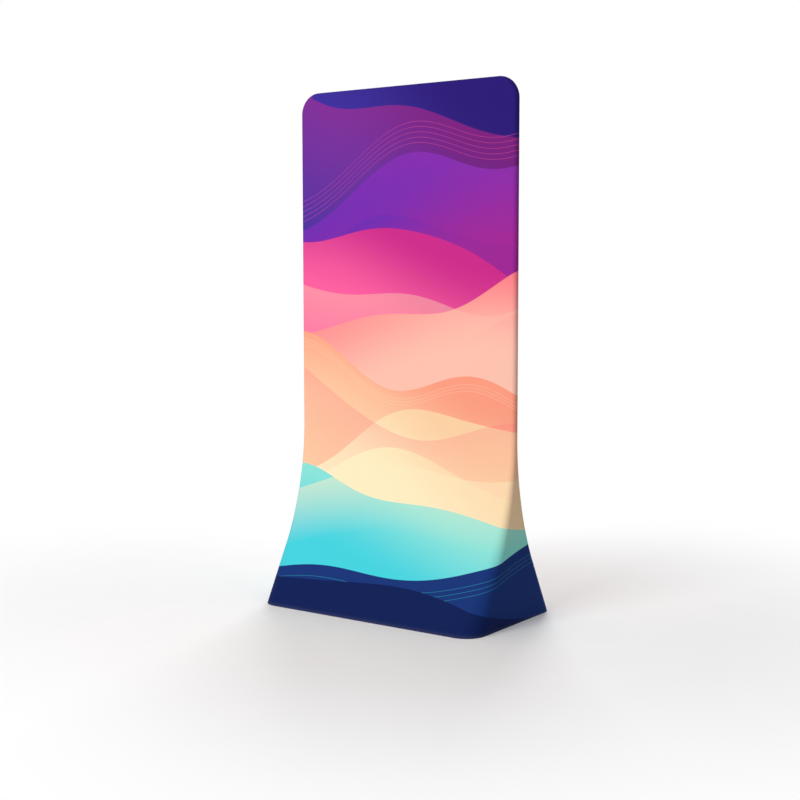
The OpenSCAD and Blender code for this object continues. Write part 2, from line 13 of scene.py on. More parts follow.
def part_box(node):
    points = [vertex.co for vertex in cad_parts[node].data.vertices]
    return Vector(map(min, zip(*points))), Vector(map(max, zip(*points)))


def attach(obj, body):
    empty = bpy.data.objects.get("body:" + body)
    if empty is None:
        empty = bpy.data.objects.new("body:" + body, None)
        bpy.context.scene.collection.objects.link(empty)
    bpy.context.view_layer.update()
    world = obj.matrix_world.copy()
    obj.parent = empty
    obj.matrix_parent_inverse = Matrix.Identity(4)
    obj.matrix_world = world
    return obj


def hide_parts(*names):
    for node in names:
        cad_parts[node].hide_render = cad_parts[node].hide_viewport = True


bl_info = {
    "name": "Fabric Tower Display",
    "version": (1, 0, 0),
    "blender": (4, 5, 0),
    "location": "View3D > Sidebar > Fabric Tower",
    "description": "Printed stretch cover, zip, tube frame and stage of a fabric tower",
    "category": "Object",
}

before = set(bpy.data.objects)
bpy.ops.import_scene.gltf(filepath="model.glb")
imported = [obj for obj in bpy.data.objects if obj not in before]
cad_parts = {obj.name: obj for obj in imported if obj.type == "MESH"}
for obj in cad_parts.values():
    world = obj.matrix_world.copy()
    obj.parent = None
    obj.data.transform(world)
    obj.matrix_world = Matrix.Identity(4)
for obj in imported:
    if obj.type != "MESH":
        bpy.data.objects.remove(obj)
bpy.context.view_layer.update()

# The cover's measures, as its solids have them
HALF_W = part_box("cover_front_wrap")[1].x
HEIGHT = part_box("cover_front_wrap")[1].z
HALF_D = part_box("cover_base_panel")[1].y
CLOTH = 0.0008
WRAP_R = 0.0202
EDGE_R = 0.0197
BASE_CORNER = 0.098
TOP_CORNER = 0.100

# The legs that the cover rests on: lean of the shank and radius of the bend
LEG_LEAN = radians(31)
LEG_BEND = 1.180
CORNER_SHARE = 1 - sqrt(0.5)
TOE_IN = CORNER_SHARE * (BASE_CORNER - EDGE_R)
FOOT_Y = HALF_D - WRAP_R / cos(LEG_LEAN) - TOE_IN
TOE = atan(TOE_IN / FOOT_Y)
BEND_REACH = LEG_BEND * (1 - cos(LEG_LEAN))
BEND_DROP = LEG_BEND * sin(LEG_LEAN)
FLARE_TOP = BEND_DROP + (hypot(FOOT_Y, TOE_IN) - BEND_REACH) / tan(LEG_LEAN)
FACE_SHARE = cos(TOE) + sin(TOE)
FACE_LEAN = atan(tan(LEG_LEAN) * FACE_SHARE)

# The flat part's edge, and the bend of the cloth round the top corners
EDGE_FLAT = WRAP_R - EDGE_R
EDGE_ROUND = pi * EDGE_R + 2 * EDGE_FLAT
TOP_BEND = TOP_CORNER - EDGE_R
TOP_X = HALF_W - TOP_CORNER

# The zip, in the plane of the lower back: x along it, y outwards, z up the slope; one of its
# stops as (place from end to end, how much lower and narrower)
ZIP_UP = 0.028
FABRIC_EDGE = 0.0055
HEM_TOP = (ZIP_UP - FABRIC_EDGE) * cos(FACE_LEAN)
PANEL_LOW = (ZIP_UP + FABRIC_EDGE) * cos(FACE_LEAN)
TAPE_REACH = HALF_W - BASE_CORNER - 0.001
TAPE_T = 0.0006
TAPE_W = 0.014
TAPE_Y = -CLOTH * cos(FACE_LEAN) - 0.00005
CHAIN_HALF = 0.497
CHAIN_W = 0.0066
CHAIN_H = 0.0022
CHAIN_MID = 0.00052
CHAIN_GAP = 0.0003
COIL_SQUEEZE = 0.12
STOP_LEN = 0.003
STOP = ((-1.0, 0.0004), (-0.8, 0.0), (0.8, 0.0), (1.0, 0.0004))
TAB_IN = 0.5015
TAB_OUT = 0.5134
TAB_HALF = 0.0085
TAB_LOW = 0.00042
TAB_CROWN = 0.00035
WOVEN_T = 0.0005
ON_BACK = Matrix.Translation((0, HALF_D, 0)) @ Matrix.Rotation(FACE_LEAN, 4, "X")

# The slider: its shell as (place from end to end, how much narrower, how much lower)
SLIDER_X = 0.4902
SLIDER_LEN = 0.013
SLIDER_HALF = 0.0046
SHELL = (
    (-1.0, 0.00055, 0.00045), (-0.97, 0.00040, 0.00020), (-0.90, 0.00030, 0.00004),
    (-0.55, 0.00024, 0.0), (-0.15, 0.00008, 0.0), (0.25, 0.0, 0.0), (0.75, 0.0, 0.0),
    (0.92, 0.00006, 0.00004), (0.98, 0.00022, 0.00022), (1.0, 0.00042, 0.00048),
)
ROOF = 0.001
ROOF_BEND = 0.0007
PLATE_R = 0.0014
PLATE_T = 0.001
PLATE_BEVEL = 0.0003
DIVIDER_X = SLIDER_X + 0.00455
DIVIDER = (0.0013, 0.00045)
CAST_IN = 0.0002

# The pin and the eyes round it; the lug below an eye as (height above the roof, half length)
# and the pull's strap as (distance from the pin, half thickness, half width)
PIN = Vector((SLIDER_X + 0.00195, TAPE_Y + CHAIN_H + CHAIN_GAP + 0.00295, ZIP_UP))
PIN_R = 0.0008
PIN_CORE = 0.00002
PIN_HALF = 0.0033
PIN_BEVEL = 0.0003
EYE_R = 0.0017
LUG_Z = 0.00265
LUG_T = 0.00046
LUG = ((-0.0003, 0.0023), (0.0006, 0.0018), (0.00125, 0.0015))
PULL_LEN = 0.028
HOLE_RIM = 0.002
STRAP = (
    (0.0246, 0.00066, 0.0019), (0.019, 0.00064, 0.0016), (0.013, 0.0006, 0.0013),
    (0.007, 0.0006, 0.00135), (0.003, 0.0006, 0.0017), (0.0012, 0.00058, 0.0018),
)

# One stitch as (place from end to end, thickness, lift), in shares of its size
STITCH = (
    (-1.0, 0.35, -0.9), (-0.72, 0.9, -0.1), (0.0, 1.0, 0.25), (0.72, 0.9, -0.1),
    (1.0, 0.35, -0.9),
)
STITCH_SIDES = 6
STITCH_OUT = 0.2
SEAM_IN = 0.0018
SEAM_END = 0.006
TAB_STITCH = 0.0016
TAB_STITCHES = 4
TAB_SLANT = 0.0005

# How finely the pieces are faced, what turn makes an edge sharp, and where rows have to lie
CORNER_COLUMNS = 16
SIDE_COLUMNS = 6
TOP_ROWS = 24
TOP_TURNS = [radians(90 * i / TOP_ROWS) for i in range(1, TOP_ROWS + 1)]
BASE_ROWS = 6
TAPE_COLUMNS, TAPE_ROWS = 160, 10
TAB_COLUMNS, TAB_ROWS = 8, 12
COIL_SIDES, COIL_STEPS = 5, 12
SHARP = radians(38)
FOOT_ROWS = (CLOTH, 0.003, 0.007, 0.013, HEM_TOP, PANEL_LOW, 0.036, 0.048)
SEAM_STEPS = (0.004, 0.002, 0.0)
SEAM_BAND = 0.012

# Small forms of the cloth, and how much smaller it is cut than it is worn
FOOT_ROLL = 0.007
FOOT_INSET = 0.0006
BASE_INSET = 0.0005
BRIDGE_LOW, BRIDGE_HIGH = 0.06, 1.0
TAPE_RIB = 0.00008
WARP, WEFT = 0.0006, 0.0005

# The maps of the print's way round the tower and of the knit, by their names in the meshes
ROUND_MAP = "round"
CUT_MAP = "cut"

# The stage: each lamp's size and place, what they aim at, and where the floor turns white
LAMPS = {"key": (3.6, (-0.6, -6.87, 3.6)), "back": (3.0, (-3.2, 5.6, 3.2))}
LAMP_AIM = Vector((0.0, 0.0, 1.1))
FLOOR_HALF = 40.0
FADE_FROM, FADE_TO = 0.9, 3.2
WHITE = (1, 1, 1, 1)


def ink(*screen):
    """A screen colour of 0 to 255 as the linear colour that a property holds."""
    parts = (part / 255 for part in screen)
    return tuple(p / 12.92 if p <= 0.04045 else ((p + 0.055) / 1.055) ** 2.4 for p in parts)


def setting(kind, **fixed):
    """Makes properties of one kind, each from its name, description and default."""

    def made(name, description, default, **own):
        return kind(name=name, description=description, default=default, **{**fixed, **own})

    return made


colour = setting(FloatVectorProperty, subtype="COLOR", size=3, min=0, max=1)
length = setting(FloatProperty, min=0, precision=5, subtype="DISTANCE", unit="LENGTH")
share = setting(FloatProperty, min=0, max=1, subtype="FACTOR")
swing = setting(FloatProperty, subtype="ANGLE", unit="ROTATION")
watts = setting(FloatProperty, min=0, unit="POWER")


# Settings


class TOWER_PG_cover(bpy.types.PropertyGroup):
    """Form and cloth of the stretch cover."""

    front_columns: IntProperty(
        name="Front Columns", description="Faces across the front", default=48, min=12, max=160
    )
    flare_step: length("Flare Step", "Height of a row of faces in the flare", 0.022)
    upper_step: length("Upper Step", "Height of a row of faces in the flat part", 0.06)
    bridge: length("Bridge", "How far the cloth bridges the curve between two legs", 0.010)
    groove: length("Seam Groove", "Depth of the line where two cut pieces are sewn", 0.00045)
    wale: length("Wale", "Width of one column of knitted loops", 0.0011)
    course: length("Course", "Height of one row of knitted loops", 0.0009)
    knit_depth: length("Knit Depth", "Depth of the knit's relief", 0.00010)
    roughness: share("Roughness", "Mean roughness of the cloth", 0.72)
    sheen: share("Sheen", "Soft sheen of the polyester", 0.01)


class TOWER_PG_print(bpy.types.PropertyGroup):
    """Inks of the printed design, from the top down."""

    indigo: colour("Indigo", "Top left", ink(64, 50, 158))
    night_violet: colour("Night Violet", "Top right", ink(44, 26, 116))
    violet: colour("Violet", "First wave", ink(98, 46, 180))
    plum: colour("Plum", "Foot of the first wave", ink(158, 40, 148))
    magenta: colour("Magenta", "Second wave", ink(204, 44, 138))
    pink: colour("Pink", "Foot of the second wave", ink(255, 98, 160))
    coral: colour("Coral", "Third wave", ink(255, 122, 134))
    blush: colour("Blush", "Foot of the third wave", ink(255, 196, 176))
    apricot: colour("Apricot", "Fourth wave", ink(255, 158, 130))
    peach: colour("Peach", "Foot of the fourth wave", ink(255, 204, 164))
    sand: colour("Sand", "Fifth wave", ink(255, 212, 166))
    cream: colour("Cream", "Foot of the fifth wave", ink(255, 238, 196))
    mint: colour("Mint", "Sixth wave", ink(150, 232, 218))
    aqua: colour("Aqua", "Foot of the sixth wave", ink(69, 212, 224))
    navy: colour("Navy", "Seventh wave", ink(26, 54, 120))
    night: colour("Night", "Lowest wave", ink(16, 33, 86))
    edge_blur: length("Edge Blur", "Softness of the edge between two inks", 0.0016)


class TOWER_PG_zip(bpy.types.PropertyGroup):
    """The zip along the foot of the back."""

    pitch: length("Coil Pitch", "Distance from one turn of the coil to the next", 0.0017)
    wire: length("Coil Wire", "Diameter of the coil's monofilament", 0.0007)
    stitch_pitch: length("Stitch Pitch", "Distance between the stitches beside the zip", 0.0034)
    stitch: length("Stitch", "Length of one stitch", 0.0025)
    thread: length("Thread", "Diameter of the sewing thread", 0.0005)
    tape: colour("Tape", "Woven tape", ink(30, 38, 82))
    coil: colour("Coil", "Nylon coil", ink(24, 28, 58))
    metal: colour("Metal", "Slider, pull and stops", (0.42, 0.42, 0.44))


class TOWER_PG_frame(bpy.types.PropertyGroup):
    """Finishes of the frame inside the cover."""

    aluminium: colour("Aluminium", "Drawn and anodised tubes", (0.72, 0.73, 0.74))
    coat: colour("Powder Coat", "Flat base ring", (0.075, 0.078, 0.085))
    zinc: colour("Zinc", "Lap screws", (0.55, 0.56, 0.58))
    spring: colour("Spring Steel", "Snap buttons and their strips", (0.60, 0.61, 0.63))
    tube_roughness: share("Tube Roughness", "Mean roughness of the tubes", 0.34)


class TOWER_PG_stage(bpy.types.PropertyGroup):
    """Camera, lamps and floor."""

    lens: setting(FloatProperty, min=10, unit="CAMERA")(
        "Lens", "Focal length on a 36 mm sensor", 62.76
    )
    eye: setting(FloatVectorProperty, subtype="TRANSLATION", unit="LENGTH")(
        "Eye", "Place of the camera", (3.752, -5.330, 1.578)
    )
    yaw: swing("Yaw", "Camera's turn about the vertical", radians(35.365))
    pitch: swing("Pitch", "Camera's lean below the horizon", radians(5.21))
    roll: swing("Roll", "Camera's roll", radians(-0.06))
    key: watts("Key Light", "Large soft lamp before the front", 352.0)
    back: watts("Back Light", "Soft lamp behind the left of the tower", 290.0)
    fill: share("Fill", "Strength of the world's even light", 0.44, max=4)
    floor: colour("Floor", "Plain pale floor", (0.90, 0.90, 0.90))
    bounce: colour("Bounce", "Light that the floor throws back", (0.45, 0.45, 0.45))


# Shader maths


def maths(operation, reflected=False):
    """A method of Sock that adds a Math node; a reflected one takes its values turned round."""

    def method(sock, *others):
        values = (*others, sock) if reflected else (sock, *others)
        return sock.shader.node("Math", {"operation": operation}, dict(enumerate(values)))

    return method


class Sock:
    """A shader socket whose arithmetic adds Math nodes."""

    def __init__(self, shader, socket):
        self.shader = shader
        self.socket = socket

    __add__, __radd__ = maths("ADD"), maths("ADD", True)
    __sub__, __rsub__ = maths("SUBTRACT"), maths("SUBTRACT", True)
    __mul__, __rmul__ = maths("MULTIPLY"), maths("MULTIPLY", True)
    __truediv__, __rtruediv__ = maths("DIVIDE"), maths("DIVIDE", True)
    __abs__ = maths("ABSOLUTE")
    fraction, sine, root = maths("FRACT"), maths("SINE"), maths("SQRT")

    def clamped(self):
        settings = {"operation": "ADD", "use_clamp": True}
        return self.shader.node("Math", settings, {0: self, 1: 0.0})

    def beside(self, output):
        """Another output of the same node."""
        return Sock(self.shader, self.socket.node.outputs[output])


class Shader:
    """The nodes of one material, or of a world."""

    def __init__(self, name, kind="materials"):
        self.owner = getattr(bpy.data, kind).new(name)
        self.owner.use_nodes = True
        self.tree = self.owner.node_tree
        self.tree.nodes.clear()

    def node(self, kind, settings=None, sockets=None, output=0):
        """Adds a node: its settings first, then the values or links of its sockets."""
        made = self.tree.nodes.new("ShaderNode" + kind)
        for key, value in (settings or {}).items():
            setattr(made, key, value)
        for key, value in (sockets or {}).items():
            if isinstance(value, Sock):
                self.tree.links.new(value.socket, made.inputs[key])
            else:
                made.inputs[key].default_value = value
        return Sock(self, made.outputs[output]) if len(made.outputs) else None

    def split(self, vector):
        x = self.node("SeparateXYZ", None, {0: vector})
        return x, x.beside(1), x.beside(2)

    def join(self, x, y, z):
        return self.node("CombineXYZ", None, {0: x, 1: y, 2: z})

    def dot(self, vector, weights):
        settings = {"operation": "DOT_PRODUCT"}
        return self.node("VectorMath", settings, {0: vector, 1: weights}, "Value")

    def stretch(self, vector, scales):
        """A vector or a colour times another, part by part."""
        return self.node("VectorMath", {"operation": "MULTIPLY"}, {0: vector, 1: scales})

    def tint(self, colour_in, amount):
        """A colour made lighter or darker by a factor near one."""
        return self.stretch(colour_in, self.join(amount, amount, amount))

    def uv(self, name):
        return self.node("UVMap", {"uv_map": name})

    def object_place(self):
        return self.node("TexCoord", output="Object")

    def noise(self, vector, scale, detail=3.0):
        return self.node("TexNoise", None, {"Vector": vector, "Scale": scale, "Detail": detail})

    def smooth(self, value, low, high):
        """Zero at low, one at high, with soft ends."""
        sockets = {"Value": value, "From Min": low, "From Max": high}
        return self.node("MapRange", {"interpolation_type": "SMOOTHSTEP"}, sockets)

    def mix(self, a, b, factor):
        """Colour a where factor is 0 and colour b where it is 1.

        A Mix node's colours are its inputs 6 and 7 and its output 2.
        """
        a, b = (value if isinstance(value, Sock) else (*value, 1.0) for value in (a, b))
        return self.node("Mix", {"data_type": "RGBA"}, {0: factor, 6: a, 7: b}, 2)

    def bump(self, height, distance, strength):
        sockets = {"Strength": strength, "Distance": distance, "Height": height}
        return self.node("Bump", None, sockets)

    def finish(self, **sockets):
        """Ends the material in a Principled shader; names use _ for a space."""
        values = {key.replace("_", " "): value for key, value in sockets.items()}
        return self.end(self.node("BsdfPrincipled", None, values))

    def end(self, surface, kind="Material"):
        self.node("Output" + kind, None, {"Surface": surface})
        return self.owner

    def looked_at(self):
        """One for rays that see the stage itself or in a gloss or glass, zero for its light."""
        straight = self.node("LightPath", output="Is Camera Ray")
        seen = straight + straight.beside("Is Glossy Ray") + straight.beside("Is Transmission Ray")
        return seen.clamped()


# Form of the cover


def leg_drop(z):
    """How far height z lies below the top of the flare."""
    return max(0.0, FLARE_TOP - z)


def leg_reach(z):
    """How far a leg's centreline stands out from the upright at height z."""
    drop = leg_drop(z)
    if drop < BEND_DROP:
        return LEG_BEND - sqrt(LEG_BEND**2 - drop**2)
    return BEND_REACH + (drop - BEND_DROP) * tan(LEG_LEAN)


def cover_half(z):
    """Half the cover's depth at height z."""
    tilt = asin(min(leg_drop(z), BEND_DROP) / LEG_BEND)
    return leg_reach(z) * FACE_SHARE + WRAP_R / cos(tilt)


def cover_corner(z):
    """Plan radius of the cover's corners at height z."""
    return EDGE_R + leg_reach(z) * sin(TOE) / CORNER_SHARE


def bridge_out(cover, z, across):
    """How far the cloth stands out of the legs' curve; across is -1 to 1 between them."""
    if not BRIDGE_LOW < z < BRIDGE_HIGH:
        return 0.0
    up = sin(pi * (z - BRIDGE_LOW) / (BRIDGE_HIGH - BRIDGE_LOW)) ** 2
    return cover.bridge * up * (1 - across**2) ** 2


def foot_inset(z):
    """The cloth rolls in to the base seam over the last few millimetres."""
    return FOOT_INSET * (1 - z / FOOT_ROLL) ** 2 if z < FOOT_ROLL else 0.0


def rolled(y, cy, shrink):
    """Pulls the round part of a corner in, and leaves its flat part."""
    if abs(y) <= cy:
        return y
    return copysign(cy + (abs(y) - cy) * shrink, y)


def right_edge(cover, r, cy):
    """Points round the right edge from the front tangent to the back seam.

    Each is how far it stands out, its y and its distance round the edge. The columns are
    close together at the seam, and its own point is sunk into the groove.
    """
    spots = [(90 * i / CORNER_COLUMNS, -cy) for i in range(CORNER_COLUMNS + 1)]
    spots += [(90, cy * (2 * i / SIDE_COLUMNS - 1)) for i in range(1, SIDE_COLUMNS)]
    last = 180 - degrees(SEAM_STEPS[0] / r)
    steps = CORNER_COLUMNS - len(SEAM_STEPS) + 2
    spots += [(90 + (last - 90) * i / steps, cy) for i in range(steps)]
    spots += [(180 - degrees(step / r), cy) for step in SEAM_STEPS]
    made = []
    for angle, y in spots:
        turn = radians(angle)
        depth = r - (cover.groove if angle == 180 else 0)
        made.append((r * sin(turn), y - depth * cos(turn), r * turn + y + cy))
    return made


def bearing(x, girth, depth=1.0):
    """Where a point stands in the round map; depth is 1 on the front and -1 on the back."""
    angle = 2 * pi * x / girth
    return cos(angle) * depth, sin(angle)


class CoverPlan:
    """The rows of points that the wrap, back and hem share.

    A point is its place, then its places in the round map and in the cut map.
    """

    def __init__(self, cover):
        self.cover = cover
        self.rows = self.heights()
        self.up = {self.rows[0]: 0.0}
        for low, high in zip(self.rows, self.rows[1:]):
            run = hypot(high - low, cover_half(high) - cover_half(low))
            self.up[high] = self.up[low] + run
        self.top_z = self.rows[-1]
        self.top_round = self.girth(self.top_z)

    def heights(self):
        """Heights of the rows, from the base seam to where the top corners start."""
        rows = list(FOOT_ROWS)
        for top, step in (
            (FLARE_TOP, self.cover.flare_step), (HEIGHT - TOP_CORNER, self.cover.upper_step),
        ):
            low = rows[-1]
            count = round((top - low) / step)
            rows += [low + (top - low) * i / count for i in range(1, count + 1)]
        return rows

    @staticmethod
    def girth(z):
        r = cover_corner(z)
        return 4 * (HALF_W - r) + 2 * (pi * r + 2 * (cover_half(z) - r))

    def across(self, half):
        count = self.cover.front_columns
        return [half * (2 * i / count - 1) for i in range(count + 1)]

    @staticmethod
    def joined(front, right):
        """A whole row: the right edge mirrored to the left, the front, the right edge."""
        left = [((-x, y, z), (c, -s), (-u, v)) for (x, y, z), (c, s), (u, v) in right]
        return left[::-1] + front + right

    def ring(self, z):
        """One level row from the left seam round the front to the right seam."""
        inset, r, half_d = foot_inset(z), cover_corner(z), cover_half(z)
        cx, cy = HALF_W - r, half_d - r
        shrink = (r - inset) / r

        def marked(x, y, along):
            return (x, y, z), bearing(along, self.girth(z)), (along, self.up[z])

        right = [
            marked(cx + out * shrink, rolled(y, cy, shrink), cx + run)
            for out, y, run in right_edge(self.cover, r, cy)
        ]
        front = [
            marked(x, inset - half_d - bridge_out(self.cover, z, x / cx), x)
            for x in self.across(cx)[1:-1]
        ]
        return self.joined(front, right)

    def turned(self, turn):
        """A row whose ends go round the top corners by turn radians."""
        c, s = cos(turn), sin(turn)
        reach, z = TOP_X + TOP_BEND * c, self.top_z + TOP_BEND * s
        up = self.up[self.top_z] + TOP_BEND * s
        right = []
        for out, y, run in right_edge(self.cover, EDGE_R, EDGE_FLAT):
            spot = bearing(reach, self.top_round, 1 - 2 * run / EDGE_ROUND)
            place = (reach + out * c, y, z + out * s)
            right.append((place, spot, (reach + run * c, up + run * s)))
        front = [
            ((x, -WRAP_R, z), bearing(x, self.top_round), (x, up))
            for x in self.across(reach)[1:-1]
        ]
        return self.joined(front, right)

    def over_top(self):
        """The strip over the top tube, from the front's top row to the back seam."""
        z, up = self.top_z + TOP_BEND, self.up[self.top_z] + TOP_BEND
        rows = []
        for out, y, run in right_edge(self.cover, EDGE_R, EDGE_FLAT):
            depth = 1 - 2 * run / EDGE_ROUND
            rows.append([
                ((x, y, z + out), bearing(x, self.top_round, depth), (x, up + run))
                for x in self.across(TOP_X)
            ])
        return rows

    def back_row(self, z, half, y):
        """One row of the back, from its right seam as the front sees it to the left."""
        seam = [half - step for step in reversed(SEAM_STEPS)]
        xs = seam + self.across(half - SEAM_BAND)[::-1] + [-x for x in reversed(seam)]
        girth = self.girth(z) if z < self.top_z else self.top_round
        up = self.up.get(z, self.up[self.top_z] + z - self.top_z)
        row = []
        for x in xs:
            sunk = self.cover.groove if abs(x) == half else 0.0
            place = (x, y + bridge_out(self.cover, z, x / half) - sunk, z)
            row.append((place, bearing(x, girth, -1), (-x, up)))
        return row

    def back_rows(self, low, high):
        """The level rows of the back between two heights."""
        return [
            self.back_row(z, HALF_W - cover_corner(z), cover_half(z) - foot_inset(z))
            for z in self.rows if low <= z <= high
        ]


# Meshes


def spokes(count):
    """Cosine and sine of equal steps round a circle."""
    return [(cos(2 * pi * k / count), sin(2 * pi * k / count)) for k in range(count)]


def piece(name, places, faces, material, matrix=None):
    """Makes a smooth mesh object and links it to the scene."""
    mesh = bpy.data.meshes.new(name)
    mesh.from_pydata(places, [], faces)
    mesh.transform(matrix or Matrix())
    mesh.shade_smooth()
    mesh.materials.append(material)
    made = bpy.data.objects.new(name, mesh)
    bpy.context.scene.collection.objects.link(made)
    return made


class Skin:
    """Collects the faces of one cut of cloth, with the maps of its print and knit."""

    def __init__(self, *grids):
        self.places, self.round, self.cut, self.faces = [], [], [], []
        self.known = {}
        for rows in grids:
            self.grid(rows)

    def point(self, place, round_at, cut_at):
        """The number of a point; places that agree to a micrometre are one point."""
        key = tuple(round(value * 1e6) for value in place)
        if key not in self.known:
            self.known[key] = len(self.places)
            self.places.append(Vector(place))
            self.round.append(round_at)
            self.cut.append(cut_at)
        return self.known[key]

    def grid(self, rows):
        """Rows go up and columns to the right, as seen from outside."""
        ids = [[self.point(*item) for item in row] for row in rows]
        for low, high in zip(ids, ids[1:]):
            for j in range(len(low) - 1):
                self.faces.append((low[j], low[j + 1], high[j + 1], high[j]))

    def build(self, name, material, thickness, slot, node, matrix=None):
        """Makes the object, with its thickness inwards, in place of a node of the frame."""
        made = piece(name, self.places, self.faces, material, matrix)
        for layer, values in ((CUT_MAP, self.cut), (ROUND_MAP, self.round)):
            data = made.data.uv_layers.new(name=layer).data
            for loop in made.data.loops:
                data[loop.index].uv = values[loop.vertex_index]
        solid = made.modifiers.new("Cloth", "SOLIDIFY")
        solid.thickness = thickness
        solid.offset = -1
        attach(made, "root")
        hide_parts(node)
        return made


class Solid:
    """Collects lofted and turned shapes into one closed mesh in the plane of the zip."""

    def __init__(self):
        self.places = []
        self.faces = []

    def loft(self, sections, closed=False):
        """Skins equal loops of points; the loops turn clockwise as seen along the loft.

        A closed loft joins its last loop to its first, and any other has flat ends.
        """
        first, count = len(self.places), len(sections[0])
        for section in sections:
            self.places.extend(Vector(place) for place in section)
        starts = [first + count * i for i in range(len(sections))]
        for low, high in zip(starts, starts[1:] + (starts[:1] if closed else [])):
            for k in range(count):
                k1 = (k + 1) % count
                self.faces.append((low + k, low + k1, high + k1, high + k))
        if not closed:
            self.faces.append(tuple(reversed(range(first, first + count))))
            self.faces.append(tuple(range(starts[-1], starts[-1] + count)))

    def stack(self, x, z, *layers, r):
        """Plates up the y axis as (y, half length, half width), with corners of radius r."""
        self.loft([
            [(x + a, y, z + b) for a, b in round_loop(half_x, half_z, r)]
            for y, half_x, half_z in reversed(layers)
        ])

    def bar(self, y, z, layers, r):
        """Sections along the x axis as (x, half height, half width), corners of radius r."""
        self.loft([
            [(x, y + a, z + b) for a, b in round_loop(half_y, half_z, r)]
            for x, half_y, half_z in layers
        ])

    def turn(self, profile, centre, axis, segments=40):
        """Turns a closed profile of (radius, height) about an axis through centre."""
        basis = Vector(axis).to_track_quat("Z", "X").to_matrix()
        self.loft([
            [Vector(centre) + basis @ Vector((c * r, s * r, h)) for r, h in profile]
            for c, s in reversed(spokes(segments))
        ], closed=True)

    def stitch(self, middle, reach, r):
        """A short thread of radius r that dips into the cloth at both ends."""
        sideways = reach.cross(Vector((0, 1, 0))).normalized()
        sections = []
        for along, size, lift in STITCH:
            here = middle + reach * along
            sections.append([
                here + Vector((0, (c * size + lift) * r, 0)) + sideways * (s * r * size)
                for c, s in spokes(STITCH_SIDES)
            ])
        self.loft(sections)

    def build(self, name, material, body, slot, *nodes):
        """Makes the object, lets it ride its body and stand for its CAD nodes."""
        made = piece(name, self.places, self.faces, material, ON_BACK)
        made.data.set_sharp_from_angle(angle=SHARP)
        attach(made, body)
        if nodes:
            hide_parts(*nodes)


def round_loop(half_a, half_b, r, steps=4):
    """A rectangle with round corners, anticlockwise from its first corner."""
    loop = []
    for quarter, (sa, sb) in enumerate(((1, 1), (-1, 1), (-1, -1), (1, -1))):
        for i in range(steps + 1):
            angle = pi / 2 * (quarter + i / steps)
            a = sa * (half_a - r) + r * cos(angle)
            b = sb * (half_b - r) + r * sin(angle)
            loop.append((a, b))
    return loop


def washer(inner, outer, half, bevel):
    """Closed profile of a ring with bevelled rims, for Solid.turn."""
    round_off = bevel * 0.3
    rim = [
        (inner, bevel), (inner + bevel, 0), (outer - bevel, 0), (outer - round_off, round_off),
        (outer, bevel),
    ]
    return [(r, h - half) for r, h in rim] + [(r, half - h) for r, h in reversed(rim)]


def tab_lift(across, up):
    """Height of an end tab above the cloth: a slight crown that dies out at its edges."""
    rim = (1 - up**6) * (1 - (2 * across - 1) ** 6)
    return TAB_LOW + TAB_CROWN * rim


# Printed design

# Each wave: its middle height; three ripples round the tower as (height, phase); the
# two inks; and how the ink runs from the first to the second: (sine, cosine, height, at)
WAVES = (
    (1.98, ((0.16, 0.35), (0.085, 2.2), (0.022, 0.8)), "violet", "plum", (0.25, 0.0, -1.9, 1.76)),
    (1.68, ((0.14, 2.7), (0.090, 0.6), (0.028, 3.6)), "magenta", "pink", (-0.35, 0.0, -2.0, 1.52)),
    (1.39, ((0.15, 0.1), (0.075, 3.7), (0.024, 1.9)), "coral", "blush", (0.30, 0.1, -2.2, 1.28)),
    (1.10, ((0.12, 3.0), (0.085, 5.4), (0.026, 5.2)), "apricot", "peach", (-0.45, 0.0, -2.2, 0.98)),
    (0.80, ((0.13, 0.5), (0.065, 1.4), (0.022, 2.6)), "sand", "cream", (-0.50, 0.2, -1.8, 0.68)),
    (0.48, ((0.12, 2.4), (0.060, 4.9), (0.020, 0.4)), "mint", "aqua", (-0.35, 0.1, -2.4, 0.36)),
    (0.23, ((0.11, 5.9), (0.050, 2.9), (0.016, 4.1)), "navy", "navy", (0.0, 0.0, 1.0, 0.2)),
    (0.09, ((0.06, 2.2), (0.030, 0.9), (0.010, 5.5)), "night", "night", (0.0, 0.0, 1.0, 0.2)),
)
TOP_RUN = (0.42, -0.05, 0.9, 2.2)

# The veil laid over a wave: its upper and its lower edge, each a middle height and ripples;
# its ink; how strong it is at the upper edge; and the height over which it fades
VEILS = {
    0: ((2.34, ((0.16, 3.4), (0.07, 0.4), (0.02, 2.0))),
        (1.62, ((0.22, 1.2), (0.08, 3.0), (0.0, 0.0))), "magenta", 0.30, 0.75),
    2: ((1.53, ((0.12, 4.4), (0.06, 1.9), (0.02, 0.5))),
        (1.22, ((0.15, 5.8), (0.05, 4.2), (0.0, 0.0))), "blush", 0.36, 0.50),
    4: ((0.98, ((0.18, 3.9), (0.07, 5.6), (0.02, 3.0))),
        (0.56, ((0.16, 1.3), (0.06, 2.4), (0.0, 0.0))), "coral", 0.30, 0.50),
    5: ((0.56, ((0.15, 0.9), (0.06, 3.4), (0.02, 1.0))),
        (0.20, ((0.14, 4.0), (0.05, 0.2), (0.0, 0.0))), "cream", 0.42, 0.30),
}

# The lines that follow a wave's edge: from and to which height above it; how far apart and
# how wide; their ink and how strong it is. They come and go within 1 / LINE_ENDS metres.
LINES = {
    0: (0.03, 0.15, 0.024, 0.0032, "pink", 0.55),
    3: (-0.075, -0.03, 0.015, 0.0028, "cream", 0.65),
    6: (-0.10, -0.04, 0.020, 0.0030, "aqua", 0.40),
}
LINE_ENDS = 900


